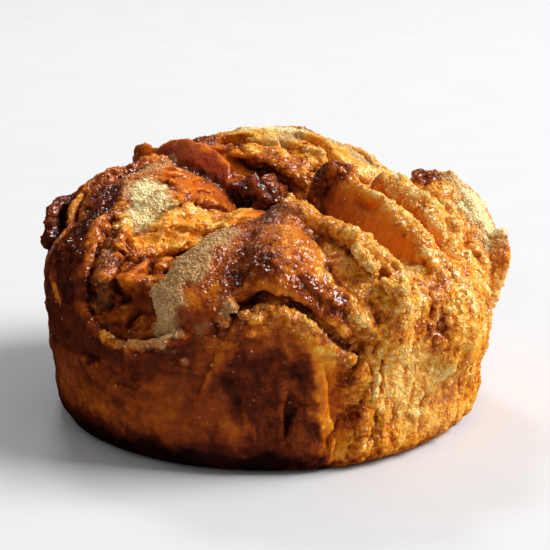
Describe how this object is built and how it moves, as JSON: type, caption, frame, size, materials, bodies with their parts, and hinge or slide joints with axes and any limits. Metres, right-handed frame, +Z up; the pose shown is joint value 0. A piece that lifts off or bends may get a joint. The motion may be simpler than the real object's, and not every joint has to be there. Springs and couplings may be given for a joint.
{
  "type": "kouign amann",
  "caption": "Round kouign amann with a tall browned side and four folded petals round a hollow, with caramel ridges, torn flaky layers and sugar crust",
  "frame": {"origin": "centre of the underside, at the middle of the bounding box", "axes": "+Z up, +X to the right of the shown side, the shown side faces -Y"},
  "size_m": [0.0986, 0.0954, 0.0532],
  "materials": {
    "crust": "caramelised laminated crust, golden to mahogany, glossy where the sugar melted",
    "sugar": "coarse pale sugar crystals baked onto the crust"
  },
  "bodies": {
    "root": {"pastry": "crust"}
  },
  "joints": []
}
